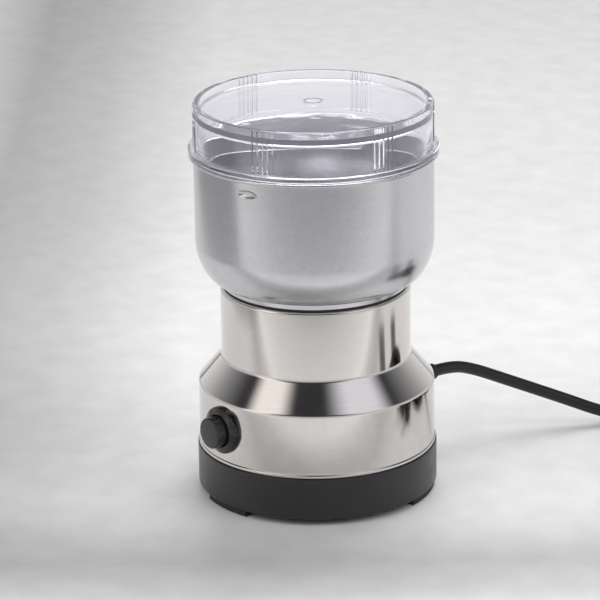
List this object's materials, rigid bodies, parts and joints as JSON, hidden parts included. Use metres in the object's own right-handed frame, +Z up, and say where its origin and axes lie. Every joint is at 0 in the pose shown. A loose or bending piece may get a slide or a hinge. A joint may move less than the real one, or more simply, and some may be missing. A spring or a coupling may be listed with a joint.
{
  "type": "electric spice grinder",
  "caption": "Electric spice grinder: steel bowl under a clear lid on a necked steel body, dark base, side push button, spinning blade and mains cord.",
  "frame": {"origin": "middle of the underside of the grinder's box, on the table, without the strain relief, cord and plug", "axes": "+Z up along the grinder's axis, -Y out of the push button, +Y towards the cord's exit, +X to the right of someone facing the button"},
  "size_m": [0.1798, 0.2442, 0.1685],
  "materials": {
    "satin_steel": "fine satin, bright at the rolled rim",
    "body_steel": "fine satin with a soft shine",
    "blade_steel": "polished",
    "clear_plastic": "clear with a faint lilac-grey tint, glossy",
    "charcoal_plastic": "fine matt",
    "black_plastic": "semi-gloss",
    "black_rubber": "matt",
    "cord_sheath": "matt flexible sheath",
    "natural_plastic": "as moulded",
    "capacitor_plastic": "as moulded",
    "wire_plastic": "insulated single wire",
    "zinc_steel": "zinc plated",
    "spring_steel": "drawn wire",
    "shaft_steel": "ground",
    "core_steel": "stacked laminations",
    "copper_wire": "enamelled copper",
    "copper_bar": "turned copper",
    "contact_brass": "bright strip",
    "bronze": "sintered, oily",
    "carbon": "pressed carbon",
    "pin_metal": "nickel plated brass"
  },
  "bodies": {
    "housing": {"bowl": "satin_steel", "body_shell": "body_steel", "bowl_gasket": "black_rubber", "bowl_screws": "zinc_steel", "shaft_seal": "black_rubber", "base": "charcoal_plastic", "rubber_feet": "black_rubber", "base_screws": "zinc_steel", "switch_bezel": "black_plastic", "switch_nut": "black_plastic", "switch_housing": "black_plastic", "switch_contacts": "contact_brass", "button_spring": "spring_steel", "motor_carrier": "natural_plastic", "rubber_dampers": "black_rubber", "upper_bush": "bronze", "lower_bush": "bronze", "lower_bracket": "natural_plastic", "stator_core": "core_steel", "field_coils": "copper_wire", "tie_screws": "zinc_steel", "brush_holders": "contact_brass", "carbon_brushes": "carbon", "brush_springs": "spring_steel", "strain_relief": "black_rubber", "cord_tail": "cord_sheath", "cord_clamp": "black_plastic", "clamp_screws": "zinc_steel", "suppression_capacitor": "capacitor_plastic", "lead_wires": "wire_plastic", "power_cord": "cord_sheath", "cord_coil": "cord_sheath", "plug_body": "cord_sheath", "plug_pins": "pin_metal"},
    "rotor": {"motor_shaft": "shaft_steel", "armature_core": "core_steel", "armature_winding": "copper_wire", "commutator": "copper_bar", "cooling_fan": "natural_plastic", "blade_collar": "black_plastic", "blade": "blade_steel", "blade_washer": "blade_steel", "blade_nut": "blade_steel"},
    "button": {"button_cap": "black_plastic", "contact_bridge": "contact_brass"},
    "lid": {"lid": "clear_plastic"}
  },
  "joints": [
    {"name": "button_press", "type": "slide", "parent": "housing", "child": "button", "axis": [0, 1, 0], "range_m": [0, 0.003], "stiffness_N_per_m": 400, "deforming": ["button_spring"]},
    {"name": "rotor_spin", "type": "hinge", "parent": "housing", "child": "rotor", "pos_m": [0, 0.00265, 0.06], "axis": [0, 0, 1], "continuous": true},
    {"name": "lid_lift", "type": "slide", "parent": "housing", "child": "lid", "axis": [0, 0, 1], "range_m": [0, 0.08]}
  ]
}
